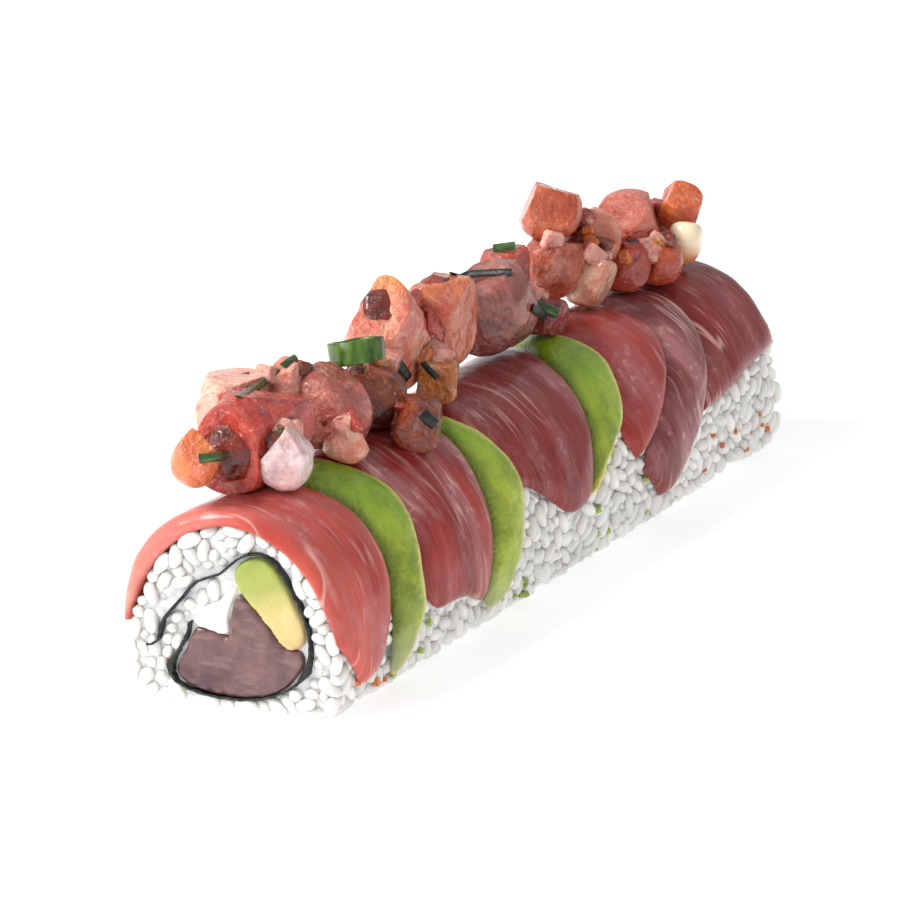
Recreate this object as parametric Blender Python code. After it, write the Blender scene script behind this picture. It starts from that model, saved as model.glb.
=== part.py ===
"""An uncut uramaki roll with tuna and avocado slices draped over it and diced fish heaped on top.

The roll lies along Y, its open end towards -Y, and stands on z = 0. Lengths are in metres.
A place on the rice is given by its run, the distance over the roll's section from the crest
(positive towards +X), and by its y.
"""

import math

import bmesh
import bpy
import numpy as np
from mathutils import Euler, Vector, noise

MM = 0.001
GAP = 0.3 * MM  # between pieces that touch
BED_GAP = 0.55 * MM  # under the slices, whose facets cut across the rice's curve
MIDDLE = (0, -1.65 * MM)  # of the whole object's box; the origin is moved there

# The rice roll
ROLL_LENGTH = 197.5 * MM
FRONT_SLANT = math.tan(math.radians(12))  # the front end is cut askew
BACK_SLANT = math.tan(math.radians(4))
RICE_HALF_WIDTH = 22.5 * MM
RICE_HEIGHT = 39.5 * MM
SIDE_HEIGHT = 10 * MM  # the sides stand nearly upright below this, and arch above it
FOOT_INSET = 0.9 * MM
FOOT_RADIUS = 2.5 * MM
ARCH_POWER = 1.9  # 2 is an ellipse, less is more pointed
ARCH_STEPS = 200
RICE_BUMP = 0.9 * MM  # depth of the hollows between grains
GRAIN_PITCH = 5 * MM
RICE_STATIONS = 24
RICE_RUN_STEPS = 34
FLOOR_STEPS = 5

# The fillings' outlines at the cut, as (x, z) in millimetres
NORI_ROUTE = (
    (-17.9, 12.0), (-15.4, 13.2), (-14.2, 17.8), (-10.6, 22.4), (-7.0, 26.9), (-2.2, 29.0),
    (1.4, 32.6), (5.6, 34.2), (9.4, 32.4), (12.4, 27.8), (15.4, 21.6), (16.4, 16.0),
    (15.4, 9.8), (11.6, 5.8), (6.4, 3.4), (0.3, 2.6), (-6.2, 3.0), (-11.6, 4.7),
    (-12.9, 8.3), (-10.7, 12.2), (-9.2, 15.4), (-8.6, 18.2),
)
NORI_THICKNESS = 0.6 * MM
NORI_FOLD = 1.0 * MM  # how much thicker it is where it is bunched, low on either side
AVOCADO_OUTLINE = (
    (0.6, 29.4), (2.4, 31.8), (5.4, 33.1), (8.3, 31.6), (10.9, 27.7), (13.3, 22.6),
    (14.9, 18.2), (14.0, 15.4), (11.6, 14.6), (9.6, 16.2), (7.4, 19.4), (4.2, 23.0),
    (1.4, 26.4),
)
FISH_OUTLINE = (
    (-7.4, 16.6), (-3.8, 16.0), (-0.6, 15.3), (-0.6, 18.4), (0.0, 21.4), (1.4, 24.9),
    (3.7, 22.5), (6.8, 19.1), (9.1, 15.8), (11.2, 14.0), (13.9, 13.9), (14.2, 10.8),
    (11.0, 7.3), (6.0, 4.9), (0.3, 4.1), (-5.8, 4.5), (-10.4, 6.0), (-11.4, 8.5),
    (-9.4, 12.2),
)
CHEESE_OUTLINE = (
    (-7.8, 18.8), (-5.4, 21.4), (-2.8, 23.0), (-0.2, 26.2), (0.7, 25.6), (-0.9, 22.0),
    (-1.3, 18.8), (-1.2, 16.2), (-3.8, 16.8), (-6.6, 17.4),
)
FILLING_INSET = 0.3 * MM  # the fillings end just inside the cut faces
CURVE_STEPS = 2

# The slices over the roll
TUNA_THICKNESS = 3.5 * MM
AVOCADO_THICKNESS = 4.1 * MM
FAR_SHOULDER_EXTRA = 0.7 * MM  # the slices are thicker over the -X shoulder
FIRST_SHOULDER_EXTRA = 3.0 * MM  # the first slice the most
SHOULDER_RUN = -21
SHOULDER_REACH = 11
END_THICKNESS = 0.6  # of the full thickness, at a slice's two ends
TUCK_REACH = 7 * MM  # how far a slice's front edge runs in under its neighbour's height
TUCK_HEIGHT = 0.55
EDGE_RADIUS = 2.0 * MM
EDGE_HEIGHT = 0.3
SLICE_RUN_STEPS = 12
SLICE_SHARES = (0, 0.08, 0.36, 0.68, 0.93, 1)  # where its lines lie across its width
FACE_LIP = 0.3 * MM  # the end slices hang this far past the cut faces

# Each slice: its front and rear edges as (run, y), then how far its two ends hang down the
# roll as (share of the width from the front, run). All in millimetres; None is a cut face.
SLICES = {
    "tuna_slice_1": (
        None,
        ((-34, -76), (-12, -77), (2, -75), (11, -71.3), (21, -71), (32, -74), (41, -79), (46, -83)),
        ((0, -34), (0.3, -36), (0.7, -33), (1, -30)),
        ((0, 34), (0.3, 39.5), (0.65, 45.5), (1, 42)),
    ),
    "avocado_slice_1": (
        (
            (-34, -75.6), (-12, -76.6), (2, -74.6), (11, -70.9), (21, -70.6), (30, -72), (38, -73),
            (48, -75),
        ),
        (
            (-34, -65), (-12, -65), (2, -61), (10, -57.5), (18, -57), (26, -61), (35, -62.5),
            (42, -68), (47, -71),
        ),
        ((0, -22), (0.5, -28), (1, -24)),
        ((0, 46), (0.5, 47.5), (1, 45)),
    ),
    "tuna_slice_2": (
        (
            (-34, -64.6), (-12, -64.6), (2, -60.6), (10, -57.1), (18, -56.6), (26, -60.6),
            (35, -60), (42, -59),
        ),
        ((-36, -36), (-12, -31), (0, -27.6), (10, -28), (20, -30), (28, -31.5), (36, -34.5), (43, -38)),
        ((0, -30), (0.25, -35), (0.6, -32), (1, -37)),
        ((0, 33), (0.12, 41.5), (0.38, 38.5), (0.6, 38), (0.85, 43), (1, 42)),
    ),
    "avocado_slice_2": (
        (
            (-36, -35.6), (-12, -30.6), (0, -27.2), (10, -27.6), (20, -29.6), (28, -31.1),
            (36, -34.1), (46, -38),
        ),
        (
            (-36, -30), (-12, -25.5), (0, -24), (8, -21.5), (15, -17.5), (23, -17), (32, -21),
            (41, -27.5), (46, -31),
        ),
        ((0, -20), (0.5, -24), (1, -19)),
        ((0, 43), (0.5, 46), (1, 43)),
    ),
    "tuna_slice_3": (
        (
            (-36, -29.6), (-12, -25.1), (0, -23.6), (8, -21.1), (15, -17.1), (23, -16.6),
            (32, -18), (38, -19),
        ),
        ((-38, 32), (-20, 31), (-7, 28.5), (0, 23), (12, 19.3), (22, 16), (32, 10.5), (37, 8)),
        ((0, -33), (0.3, -38), (0.55, -34), (0.8, -39), (1, -33)),
        ((0, 23.5), (0.2, 26.5), (0.5, 33), (0.72, 37), (1, 34.5)),
    ),
    "avocado_slice_3": (
        ((-38, 32.4), (-20, 31.4), (-7, 28.9), (0, 23.4), (12, 19.7), (22, 16.4), (32, 10.9), (37, 8)),
        ((-38, 38), (-20, 37), (-8, 34.5), (2, 33.5), (9, 35), (16, 33), (24, 27), (30, 17), (36, 10)),
        ((0, -17), (0.5, -22), (1, -18)),
        ((0, 31), (0.5, 35), (1, 31)),
    ),
    "tuna_slice_4": (
        ((-38, 38.5), (-20, 37.5), (-8, 35), (2, 34), (9, 35.6), (16, 33.6), (24, 28.3), (33, 27)),
        ((-38, 52), (-15, 57), (0, 58.5), (11, 59), (17, 56), (23, 49), (29, 39.5), (34, 31)),
        ((0, -30), (0.4, -36), (0.8, -33), (1, -28)),
        ((0, 28), (0.45, 32.5), (0.8, 32.5), (1, 28)),
    ),
    "tuna_slice_5": (
        (
            (-38, 52.4), (-15, 57.4), (0, 58.9), (11, 59.4), (17, 56.4), (23, 49.4), (29, 39.9),
            (35, 32.5), (45, 36),
        ),
        ((-38, 72), (-15, 74), (0, 74), (11, 73.4), (17, 72), (23, 68), (31, 61), (38, 51.5), (45, 42)),
        ((0, -34), (0.5, -30), (1, -35)),
        ((0, 36), (0.3, 41), (0.7, 45), (1, 41)),
    ),
    "tuna_slice_6": (
        ((-38, 72.5), (-15, 74.5), (0, 74.5), (11, 73.9), (17, 72.5), (23, 68.5), (31, 61.6), (38, 58)),
        None,
        ((0, -31), (0.5, -37), (1, -33)),
        ((0, 31.5), (0.3, 30.5), (0.6, 27.5), (1, 26)),
    ),
}

# The diced fish, front heap first: (centre), (half sizes), (turn in degrees), squareness.
# Squareness 2 is an ellipsoid, more is a block.
FRONT_HEAP = {
    "jelly_dice": ((2.4, -81.1, 49.3), (3.8, 4.2, 5.2), (10, 10, 10), 4.0),
    "fish_dice_red": ((-7, -79, 51), (8.0, 13.5, 8.6), (10, 20, 4), 3.0),
    "fish_dice_pink": ((-16.0, -69.6, 50.8), (6.0, 10.2, 8.8), (15, -20, 20), 4.0),
    "fish_dice_rose": ((-4.5, -54, 50.2), (7.6, 6.4, 7.6), (15, 35, -20), 4.5),
    "fish_dice_end": ((-9.6, -95, 51.8), (3.6, 4.4, 5.6), (0, 20, 10), 2.6),
    "fish_dice_tip": ((-10.4, -58.6, 56.6), (3.4, 3.8, 4.4), (0, 15, 20), 3.5),
    "jelly_bead": ((2.8, -59, 45.6), (3.4, 3.6, 3.6), (0, 0, 0), 2.4),
    "glazed_dice_brown": ((-3.6, -38.5, 48.6), (6.6, 6.4, 5.4), (10, 10, 30), 3.2),
    "glazed_dice_amber": ((8.6, -40.5, 45.4), (4.6, 5.4, 4.4), (20, 25, 20), 3.2),
    "glazed_dice_gold": ((1.2, -19.8, 48.4), (4.0, 4.8, 4.2), (0, 20, 40), 3.0),
    "glazed_dice_dark": ((-13, -42, 47.5), (4.6, 6.5, 6.5), (0, -15, 10), 3.0),
}
MIDDLE_HEAP = {
    "fish_lump_large": ((-8.2, -24, 57), (6.6, 8.4, 12.4), (10, -8, 10), 2.6),
    "fish_lump_tall": ((-7, -6, 56), (7.2, 8.6, 11.0), (-12, 5, 10), 2.6),
    "fish_dice_mauve": ((-6, 15, 53.0), (7.4, 11.0, 8.2), (8, 10, -8), 2.8),
    "fish_dice_crimson": ((-11.4, 30.5, 55.8), (4.2, 5.0, 6.4), (10, 5, 20), 3.2),
    "fish_dice_shadow": ((-2, 31, 47), (4.6, 4.4, 4.4), (0, 10, 20), 2.8),
}
BACK_HEAP = {
    "fish_crumb_left": ((-11.5, 51, 64.5), (6.2, 6.0, 5.4), (0, 0, 30), 2.6),
    "fish_crumb_base": ((-9.5, 49, 53.0), (5.8, 6.4, 6.6), (0, 20, 20), 2.6),
    "fish_crumb_round": ((-3.5, 54, 49.5), (5.6, 5.6, 5.6), (0, 0, 0), 2.3),
    "fish_crumb_upper": ((-6.5, 61.8, 56.0), (5.4, 5.2, 5.4), (0, 15, 0), 2.5),
    "fish_crumb_far": ((-15.4, 66, 48.3), (5.2, 7.6, 7.6), (0, -25, 0), 2.6),
    "fish_crumb_low": ((-3, 69, 48.0), (5.4, 6.2, 4.8), (0, 10, 20), 2.8),
    "fish_lump_back": ((-7.8, 80.4, 53.8), (6.4, 8.0, 6.6), (10, 0, 10), 2.7),
    "fish_crumb_right": ((1.5, 77.5, 47.8), (4.6, 4.6, 4.4), (0, 0, 30), 2.6),
    "fish_crumb_orange": ((-1.5, 93, 55.6), (4.6, 4.4, 5.0), (0, 0, 0), 2.5),
    "nut": ((2.6, 88, 49.6), (4.4, 4.3, 7.0), (0, 15, 0), 2.1),
    "fish_crumb_last": ((-6.5, 95, 47.6), (4.2, 3.8, 5.6), (0, 0, 20), 2.8),
}
DICE_ROUGHNESS = 0.13  # share of the half size
DICE_CELLS = 3
DICE_CLEARANCE = 0.6 * MM  # kept to a neighbour's true form, more than GAP for its facets
PRESS_STEP = 0.2 * MM
SEAT_MARGIN = 3 * MM  # around the avocado slices, where the dice sit higher

# The spring onion ring
RING_CENTRE = (-4.2, -43.0, 59.8)
RING_RADIUS = 6.1 * MM
RING_SQUASH = 0.82
RING_HEIGHT = 4.6 * MM
RING_WALL = 1.1 * MM
RING_TURN = (-14, -10, 25)
RING_SIDES = 16

COLOURS = {
    "rice": ((0.86, 0.85, 0.80), 0.45),
    "nori": ((0.012, 0.016, 0.012), 0.55),
    "avocado": ((0.42, 0.58, 0.08), 0.40),
    "raw_fish": ((0.24, 0.13, 0.14), 0.40),
    "cheese": ((0.86, 0.84, 0.76), 0.50),
    "tuna": ((0.42, 0.07, 0.07), 0.35),
    "diced_fish": ((0.60, 0.17, 0.12), 0.25),
    "glazed_fish": ((0.25, 0.06, 0.02), 0.18),
    "jelly": ((0.75, 0.60, 0.56), 0.15),
    "nut": ((0.78, 0.58, 0.33), 0.30),
    "spring_onion": ((0.06, 0.20, 0.02), 0.30),
}


def clear_scene():
    for thing in list(bpy.data.objects):
        bpy.data.objects.remove(thing)


def material(name):
    made = bpy.data.materials.get(name) or bpy.data.materials.new(name)
    made.use_nodes = True
    shader = made.node_tree.nodes["Principled BSDF"]
    colour, roughness = COLOURS[name]
    shader.inputs["Base Color"].default_value = (*colour, 1)
    shader.inputs["Roughness"].default_value = roughness
    shader.inputs["Metallic"].default_value = 0
    made.diffuse_color = (*colour, 1)
    return made


def add_object(name, mesh, finish):
    """A mesh as an object of the scene, with its own material."""
    thing = bpy.data.objects.new(name, mesh)
    bpy.context.scene.collection.objects.link(thing)
    mesh.materials.append(material(finish))
    mesh.shade_smooth()
    thing.location = (-MIDDLE[0], -MIDDLE[1], 0)
    return thing


def mesh_from(name, points, faces):
    """A closed mesh with its faces turned outwards."""
    mesh = bpy.data.meshes.new(name)
    mesh.from_pydata([tuple(p) for p in points], [], faces)
    shape = bmesh.new()
    shape.from_mesh(mesh)
    bmesh.ops.recalc_face_normals(shape, faces=shape.faces)
    shape.to_mesh(mesh)
    shape.free()
    return mesh


# ---- the roll's section ----


def half_section():
    """Points (x, z) of the rice's outline from the crest down its +X side to the floor."""
    side_steps, foot_steps = 20, 8
    rise = RICE_HEIGHT - SIDE_HEIGHT
    points = []
    for i in range(ARCH_STEPS + 1):
        turn = math.pi / 2 * (1 - i / ARCH_STEPS)
        x = RICE_HALF_WIDTH * abs(math.cos(turn)) ** (2 / ARCH_POWER)
        points.append((x, SIDE_HEIGHT + rise * math.sin(turn) ** (2 / ARCH_POWER)))
    for i in range(1, side_steps + 1):
        z = SIDE_HEIGHT + (FOOT_RADIUS - SIDE_HEIGHT) * i / side_steps
        points.append((RICE_HALF_WIDTH - FOOT_INSET * (1 - z / SIDE_HEIGHT) ** 2, z))
    middle = points[-1][0] - FOOT_RADIUS
    for i in range(1, foot_steps + 1):
        turn = math.pi / 2 * i / foot_steps
        x = middle + FOOT_RADIUS * math.cos(turn)
        points.append((x, FOOT_RADIUS * (1 - math.sin(turn))))
    return np.array(points)


SECTION = half_section()
SECTION_RUN = np.append(0, np.cumsum(np.hypot(*np.diff(SECTION, axis=0).T)))
SECTION_OUT = np.stack(
    [-np.gradient(SECTION[:, 1], SECTION_RUN), np.gradient(SECTION[:, 0], SECTION_RUN)], 1
)


def on_rice(run, y, lift=0.0):
    """The point over the rice at this run and y, lifted off its surface."""
    place = [np.interp(abs(run), SECTION_RUN, SECTION[:, i]) for i in (0, 1)]
    out = [np.interp(abs(run), SECTION_RUN, SECTION_OUT[:, i]) for i in (0, 1)]
    x = math.copysign(place[0] + out[0] * lift, run)
    return Vector((x, y, place[1] + out[1] * lift))


def front_y(x):
    return -ROLL_LENGTH / 2 + x * FRONT_SLANT


def back_y(x):
    return ROLL_LENGTH / 2 + x * BACK_SLANT


# ---- curves ----


def smooth(points, closed):
    """A Catmull-Rom curve through points, with CURVE_STEPS points in each span."""
    points = np.array(points, float)
    count = len(points)
    spans = count if closed else count - 1
    made = []
    for i in range(spans):
        ends = [i - 1, i, i + 1, i + 2]
        ends = [k % count if closed else min(max(k, 0), count - 1) for k in ends]
        a, b, c, d = points[ends]
        for t in np.arange(CURVE_STEPS) / CURVE_STEPS:
            bend = (2 * a - 5 * b + 4 * c - d) * t**2 + (3 * b - a - 3 * c + d) * t**3
            made.append(b + (c - a) * t / 2 + bend / 2)
    if not closed:
        made.append(points[-1])
    return np.array(made)


def at(points, place):
    """Height of a smooth line through points at this place."""
    places, heights = zip(*points)
    place = min(max(place, places[0]), places[-1])
    slopes = np.gradient(heights, places)
    i = min(int(np.searchsorted(places, place, side="right")) - 1, len(places) - 2)
    span = places[i + 1] - places[i]
    t = (place - places[i]) / span
    start = (2 * t**3 - 3 * t**2 + 1) * heights[i] + (t**3 - 2 * t**2 + t) * span * slopes[i]
    end = (3 * t**2 - 2 * t**3) * heights[i + 1] + (t**3 - t**2) * span * slopes[i + 1]
    return start + end


# ---- rice and fillings ----


def prism(name, outline, front_inset, back_inset):
    """An outline (x, z) drawn out along the roll, its ends parallel to the cut faces."""
    count = len(outline)
    front = [(x, front_y(x) + front_inset, z) for x, z in outline]
    back = [(x, back_y(x) - back_inset, z) for x, z in outline]
    sides = [(i, (i + 1) % count, count + (i + 1) % count, count + i) for i in range(count)]
    caps = [list(range(count)), list(range(count, 2 * count))]
    return mesh_from(name, front + back, sides + caps)


def nori_route():
    return smooth(NORI_ROUTE, closed=False) * MM


def nori_half_thickness(route):
    """Half the sheet's thickness along its route, more at the two bunched corners."""
    half = np.full(len(route), NORI_THICKNESS / 2)
    for corner in (NORI_ROUTE[12], NORI_ROUTE[18]):
        away = np.hypot(*(route - np.array(corner) * MM).T)
        half += NORI_FOLD / 2 * np.exp(-((away / (2.2 * MM)) ** 2))
    return half


def beside(route, distance):
    """The route moved sideways by distance, to its left where positive."""
    ahead = np.gradient(route, axis=0)
    ahead /= np.hypot(*ahead.T)[:, None]
    left = np.stack([-ahead[:, 1], ahead[:, 0]], 1)
    return route + left * np.reshape(distance, (-1, 1))


def filled_space():
    """Outline of what the rice leaves free: the nori, and all that it wraps, with a gap."""
    route = nori_route()
    half = nori_half_thickness(route) + GAP
    outside = beside(route, half)
    inside = beside(route, -half)
    cheese = smooth(CHEESE_OUTLINE, closed=True) * MM
    top_of_cheese = cheese[: 3 * CURVE_STEPS + 1] + np.array((-0.6, 0.5)) * MM
    wrapped_from = 6 * CURVE_STEPS  # the sheet leaves the avocado here, towards its tail
    return np.concatenate([outside, inside[-1:], top_of_cheese, inside[wrapped_from::-1]])


def rice_surface(run, station):
    """A point of the uneven rice: it only ever dips in from the true section."""
    place = on_rice(run, 0)
    grain = noise.noise(Vector((place.x, station * ROLL_LENGTH, place.z)) / GRAIN_PITCH)
    place = on_rice(run, 0, -RICE_BUMP * (0.5 + 0.5 * max(min(grain * 1.6, 1), -1)))
    place.z = max(place.z, 0)
    return place


def build_rice():
    reach = SECTION_RUN[-1]
    runs = [reach * (2 * i / RICE_RUN_STEPS - 1) for i in range(RICE_RUN_STEPS + 1)]
    points, faces = [], []
    for k in range(RICE_STATIONS + 1):
        station = k / RICE_STATIONS
        ring = [rice_surface(run, station) for run in runs[1:-1]]
        foot = SECTION[-1][0]
        ring += [Vector((foot * (1 - 2 * i / FLOOR_STEPS), 0, 0)) for i in range(FLOOR_STEPS + 1)]
        for place in ring:
            place.y = front_y(place.x) * (1 - station) + back_y(place.x) * station
        points += ring
    count = len(points) // (RICE_STATIONS + 1)
    for k in range(RICE_STATIONS):
        for i in range(count):
            a, b = k * count + i, k * count + (i + 1) % count
            faces.append((a, b, b + count, a + count))
    faces += [list(range(count)), list(range(count * RICE_STATIONS, len(points)))]
    rice = add_object("rice", mesh_from("rice", points, faces), "rice")
    past = 5 * MM
    hollow = add_object("hollow_cutter", prism("hollow", filled_space(), -past, -past), "rice")
    hollow.hide_render = True
    hollow.display_type = "WIRE"
    cut = rice.modifiers.new("filled space", "BOOLEAN")
    cut.operation = "DIFFERENCE"
    cut.object = hollow


def build_fillings():
    route = nori_route()
    half = nori_half_thickness(route)
    sheet = np.concatenate([beside(route, half), beside(route, -half)[::-1]])
    add_object("nori", prism("nori", sheet, 0, 0), "nori")
    for name, outline, finish in (
        ("avocado_filling", AVOCADO_OUTLINE, "avocado"),
        ("fish_filling", FISH_OUTLINE, "raw_fish"),
        ("cream_cheese", CHEESE_OUTLINE, "cheese"),
    ):
        outline = smooth(outline, closed=True) * MM
        add_object(name, prism(name, outline, FILLING_INSET, FILLING_INSET), finish)


# ---- slices ----


def rounded(distance, radius, floor):
    """Share of the full height at this distance in from an edge that is rounded off."""
    t = min(max(distance / radius, 0), 1)
    return floor + (1 - floor) * math.sqrt(1 - (1 - t) ** 2)


def slice_height(share, along, run, width, length, thickness, tucked):
    """Height of a slice over the rice: lower at its ends, its front edge and its rim."""
    ends = 1 - (1 - END_THICKNESS) * abs(2 * along - 1) ** 3
    extra = FAR_SHOULDER_EXTRA if tucked else FIRST_SHOULDER_EXTRA * (1 - share / 2)
    full = thickness + extra * math.exp(-(((run / MM - SHOULDER_RUN) / SHOULDER_REACH) ** 2))
    front = share * width
    if tucked:
        rise = min(front / TUCK_REACH, 1)
        full *= TUCK_HEIGHT + (1 - TUCK_HEIGHT) * rise * rise * (3 - 2 * rise)
    nearest = min(front, (1 - share) * width, along * length, (1 - along) * length)
    return full * ends * rounded(nearest, EDGE_RADIUS, EDGE_HEIGHT)


def edge_y(edge, run, face, lip):
    return face(on_rice(run, 0).x) + lip if edge is None else at(edge, run / MM) * MM


def build_slice(name, front, rear, far_end, near_end, finish, thickness):
    shares = SLICE_SHARES
    rows = [0, 0.02] + [i / SLICE_RUN_STEPS for i in range(1, SLICE_RUN_STEPS)] + [0.98, 1]
    tops, beds = [], []
    for along in rows:
        for share in shares:
            low, high = at(far_end, share) * MM, at(near_end, share) * MM
            run = low + (high - low) * along
            start = edge_y(front, run, front_y, -FACE_LIP)
            stop = edge_y(rear, run, back_y, FACE_LIP)
            y = start + (stop - start) * share
            height = slice_height(
                share, along, run, stop - start, high - low, thickness, front is not None
            )
            beds.append(on_rice(run, y, BED_GAP))
            tops.append(on_rice(run, y, BED_GAP + height))
    wide, tall = len(shares), len(rows)
    faces = []
    for j in range(tall - 1):
        for i in range(wide - 1):
            a = j * wide + i
            faces.append((a, a + 1, a + wide + 1, a + wide))
            b = a + wide * tall
            faces.append((b + wide, b + wide + 1, b + 1, b))
    rim = [(0, i) for i in range(wide - 1)] + [(j, wide - 1) for j in range(tall - 1)]
    rim += [(tall - 1, i) for i in range(wide - 1, 0, -1)] + [(j, 0) for j in range(tall - 1, 0, -1)]
    rim = [j * wide + i for j, i in rim]
    for a, b in zip(rim, rim[1:] + rim[:1]):
        faces.append((a, b, b + wide * tall, a + wide * tall))
    add_object(name, mesh_from(name, beds + tops, faces), finish)


def build_slices():
    for name, (front, rear, far_end, near_end) in SLICES.items():
        if name.startswith("tuna"):
            build_slice(name, front, rear, far_end, near_end, "tuna", TUNA_THICKNESS)
        else:
            build_slice(name, front, rear, far_end, near_end, "avocado", AVOCADO_THICKNESS)


# ---- diced fish ----


class Lump:
    """A rounded, uneven block, given by its centre, half sizes, turn and squareness."""

    def __init__(self, centre, half_sizes, turn, squareness):
        self.centre = Vector(centre) * MM
        self.half = Vector(half_sizes) * MM
        self.turn = Euler([math.radians(a) for a in turn]).to_matrix()
        self.power = squareness

    def reach(self, direction):
        """Distance from the centre to the surface along this direction."""
        local = self.turn.transposed() @ direction
        total = sum(abs(local[i] / self.half[i]) ** self.power for i in range(3))
        spot = self.centre * 40
        rough = noise.noise(local * 1.7 + spot) + 0.5 * noise.noise(local * 4 + spot)
        return total ** (-1 / self.power) * (1 + DICE_ROUGHNESS * rough)

    def holds(self, point, clearance):
        away = point - self.centre
        return away.length < 1e-9 or away.length < self.reach(away.normalized()) + clearance


def avocado_share(y):
    """1 on and close to an avocado slice, falling to 0 some way off along the roll."""
    away = min(
        max(front[2][1] * MM - y, y - rear[2][1] * MM, 0)
        for name, (front, rear, _, _) in SLICES.items()
        if name.startswith("avocado")
    )
    return min(max(1 - (away - SEAT_MARGIN) / SEAT_MARGIN, 0), 1)


def slice_top(x, y):
    """Height that clears the slices under this place."""
    thickness = TUNA_THICKNESS + (AVOCADO_THICKNESS - TUNA_THICKNESS) * avocado_share(y)
    shoulder = FAR_SHOULDER_EXTRA if x < 0 else 0
    over = SECTION[:ARCH_STEPS] + SECTION_OUT[:ARCH_STEPS] * (BED_GAP + thickness + shoulder + GAP)
    return np.interp(abs(x), over[:, 0], over[:, 1])


def build_lump(name, lump, others, finish, cells):
    """A cube of small faces blown up to the lump, then pressed back from its neighbours."""
    shape = bmesh.new()
    bmesh.ops.create_cube(shape, size=2)
    bmesh.ops.subdivide_edges(shape, edges=shape.edges, cuts=cells - 1, use_grid_fill=True)
    for vert in shape.verts:
        away = lump.turn @ vert.co.normalized()
        full, reach = lump.reach(away), 1 * MM
        while reach < full:
            spot = lump.centre + away * (reach + PRESS_STEP)
            if any(other.holds(spot, DICE_CLEARANCE) for other in others):
                break
            reach += PRESS_STEP
        vert.co = lump.centre + away * min(reach, full)
        vert.co.z = max(vert.co.z, slice_top(vert.co.x, vert.co.y))
    bmesh.ops.recalc_face_normals(shape, faces=shape.faces)
    mesh = bpy.data.meshes.new(name)
    shape.to_mesh(mesh)
    shape.free()
    add_object(name, mesh, finish)


def finish_of(name):
    for start, finish in (("glazed", "glazed_fish"), ("jelly", "jelly"), ("nut", "nut")):
        if name.startswith(start):
            return finish
    return "diced_fish"


def build_heaps():
    placed = []
    for heap in (FRONT_HEAP, MIDDLE_HEAP, BACK_HEAP):
        for name, form in heap.items():
            lump = Lump(*form)
            size = max(form[1])
            build_lump(name, lump, placed, finish_of(name), DICE_CELLS + (size > 8) + (size > 10))
            placed.append(lump)


def build_ring():
    """A short oval tube of spring onion, standing tilted on the glazed fish."""
    inner = RING_RADIUS - RING_WALL
    profile = (
        (RING_RADIUS, 0.5), (RING_RADIUS, -0.5), (RING_RADIUS - RING_WALL / 2, -0.56),
        (inner, -0.5), (inner, 0.5), (RING_RADIUS - RING_WALL / 2, 0.56),
    )
    turn = Euler([math.radians(a) for a in RING_TURN]).to_matrix()
    points, faces = [], []
    for k in range(RING_SIDES):
        angle = 2 * math.pi * k / RING_SIDES
        for radius, height in profile:
            spot = Vector((math.cos(angle), RING_SQUASH * math.sin(angle), 0)) * radius
            spot.z = height * RING_HEIGHT
            points.append(Vector(RING_CENTRE) * MM + turn @ spot)
    count = len(profile)
    for k in range(RING_SIDES):
        for i in range(count):
            a, b = k * count + i, k * count + (i + 1) % count
            c, d = (a + count) % len(points), (b + count) % len(points)
            faces.append((a, c, d, b))
    add_object("spring_onion_ring", mesh_from("spring_onion_ring", points, faces), "spring_onion")


clear_scene()
build_rice()
build_fillings()
build_slices()
build_heaps()
build_ring()
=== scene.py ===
"""Finish of an uncut uramaki roll: grains of rice, raw fish, avocado, glazed dice and herbs.

Lengths are in metres. The roll lies along Y with its open end towards -Y, and stands on z = 0.
"""

import math

import bmesh
import bpy
import numpy as np
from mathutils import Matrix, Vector, kdtree, noise
from mathutils.bvhtree import BVHTree


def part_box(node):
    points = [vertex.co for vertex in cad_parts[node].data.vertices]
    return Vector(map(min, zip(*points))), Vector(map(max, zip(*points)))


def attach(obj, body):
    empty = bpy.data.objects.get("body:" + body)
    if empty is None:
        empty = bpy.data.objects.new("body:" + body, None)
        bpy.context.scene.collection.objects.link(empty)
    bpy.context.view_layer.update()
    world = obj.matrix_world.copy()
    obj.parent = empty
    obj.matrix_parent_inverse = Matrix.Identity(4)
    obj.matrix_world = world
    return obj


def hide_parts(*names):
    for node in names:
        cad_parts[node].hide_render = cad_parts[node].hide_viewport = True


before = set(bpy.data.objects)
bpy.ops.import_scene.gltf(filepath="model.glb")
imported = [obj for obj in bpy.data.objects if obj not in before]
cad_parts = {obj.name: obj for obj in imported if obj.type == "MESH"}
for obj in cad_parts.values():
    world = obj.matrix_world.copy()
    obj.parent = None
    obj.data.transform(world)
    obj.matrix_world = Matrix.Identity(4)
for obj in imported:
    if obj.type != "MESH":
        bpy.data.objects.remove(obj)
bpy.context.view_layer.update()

MM = 0.001

# ---- the roll ----

ROLL_LENGTH = 197.5 * MM
ROLL_MIDDLE_Y = 1.65 * MM
FRONT_SLANT = math.tan(math.radians(12))
BACK_SLANT = math.tan(math.radians(4))
RICE_HALF_WIDTH = 22.5 * MM
RICE_HEIGHT = 39.5 * MM
SIDE_HEIGHT = 10 * MM
ARCH_POWER = 1.9
ARCH_STEPS = 28
FOOT = ((22.3, 6.0), (21.8, 2.6), (20.6, 0.8), (19.4, 0.0))  # the rounded foot, in millimetres
CORE_INSET = 1.5 * MM  # of the plain core, under the loose grains

# ---- the grains ----

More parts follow.
